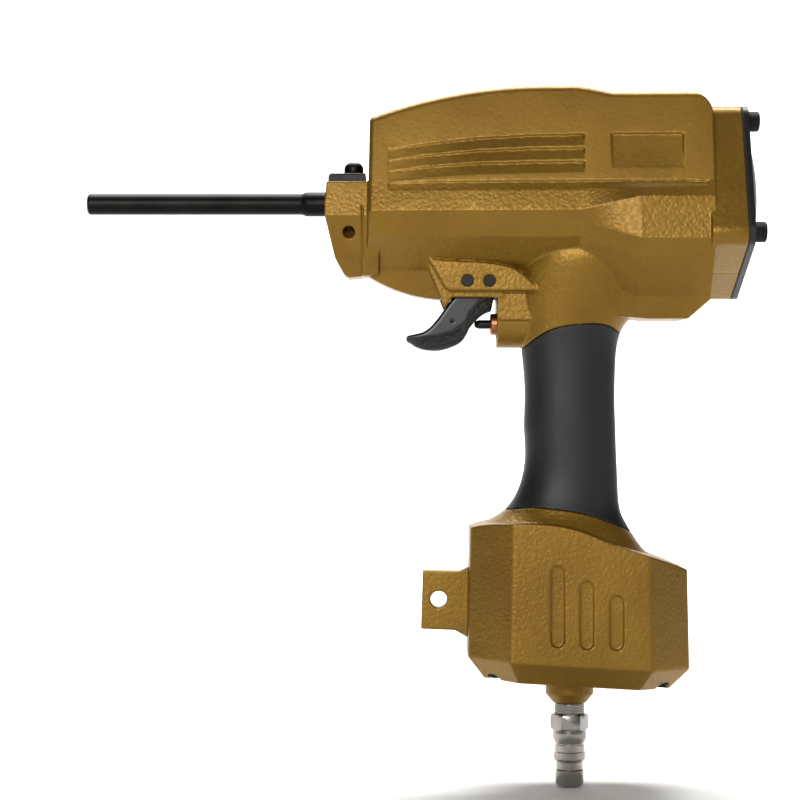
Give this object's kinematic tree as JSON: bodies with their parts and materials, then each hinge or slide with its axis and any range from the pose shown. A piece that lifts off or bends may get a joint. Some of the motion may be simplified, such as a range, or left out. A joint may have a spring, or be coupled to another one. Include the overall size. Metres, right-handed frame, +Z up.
{
  "type": "pneumatic nail gun",
  "caption": "Hand-held air-driven single-shot nail gun with a long nose tube, faceted cylinder housing, curved trigger, rubber grip and an air chamber with a hanging lug and plug under it.",
  "frame": {"origin": "centre of the muzzle, on the driver axis", "axes": "+X back along the driver axis from the muzzle to the rear cap; +Z up, from the handle towards the cylinder; Y across the tool, with -Y on the side where the near cap bolt sits low"},
  "size_m": [0.283, 0.0792, 0.2949],
  "materials": {
    "housing_paint": "hammered paint",
    "grip_rubber": "matt",
    "black_steel": "black oxide",
    "cap_black": "satin black",
    "trigger_black": "satin black",
    "bright_steel": "turned",
    "copper_bush": "turned",
    "brass": "turned",
    "aluminium": "machined",
    "seal_rubber": "matt",
    "bumper_urethane": "matt",
    "gasket_sheet": "matt"
  },
  "bodies": {
    "housing": {"main_housing": "housing_paint", "air_chamber": "housing_paint", "chamber_base": "housing_paint", "chamber_gasket": "gasket_sheet", "base_gasket": "gasket_sheet", "grip_sleeve": "grip_rubber", "barrel_tube": "black_steel", "nose_guide": "bright_steel", "nose_wear_plate": "black_steel", "nose_clamp": "black_steel", "nose_clamp_screw": "black_steel", "nose_set_screws": "bright_steel", "cylinder_liner": "aluminium", "liner_o_ring": "seal_rubber", "bumper": "bumper_urethane", "head_valve_spring": "bright_steel", "cylinder_cap": "cap_black", "cap_gasket": "gasket_sheet", "cap_bolts": "black_steel", "cap_low_screw": "black_steel", "trigger_pins": "black_steel", "valve_body": "brass", "valve_bush": "copper_bush", "valve_spring": "bright_steel", "valve_o_rings": "seal_rubber", "neck_screws": "black_steel", "base_screws": "black_steel", "air_plug": "bright_steel"},
    "piston": {"piston": "aluminium", "piston_ring": "seal_rubber", "driver_pin": "bright_steel"},
    "head_valve": {"head_valve": "aluminium", "head_valve_o_ring": "seal_rubber"},
    "trigger": {"trigger_lever": "trigger_black"},
    "plunger": {"valve_plunger": "black_steel"}
  },
  "joints": [
    {"name": "piston_stroke", "type": "slide", "parent": "housing", "child": "piston", "axis": [-1, 0, 0], "range_m": [0, 0.085]},
    {"name": "head_valve_lift", "type": "slide", "parent": "housing", "child": "head_valve", "axis": [1, 0, 0], "range_m": [0, 0.005], "stiffness_N_per_m": 900, "springref_m": -0.008, "deforming": ["head_valve_spring"]},
    {"name": "trigger_pull", "type": "hinge", "parent": "housing", "child": "trigger", "pos_m": [0.1609, 0, -0.0332], "axis": [0, -1, 0], "range_deg": [0, 10], "stiffness_Nm_per_rad": 0.6, "springref_deg": -20.05},
    {"name": "valve_plunger_slide", "type": "slide", "parent": "housing", "child": "plunger", "axis": [1, 0, 0], "range_m": [0, 0.0027], "stiffness_N_per_m": 20, "springref_m": -0.004, "deforming": ["valve_spring"]}
  ],
  "couplings": [
    {"joint": "valve_plunger_slide", "follows": "trigger_pull", "m_per_rad": 0.01513}
  ]
}
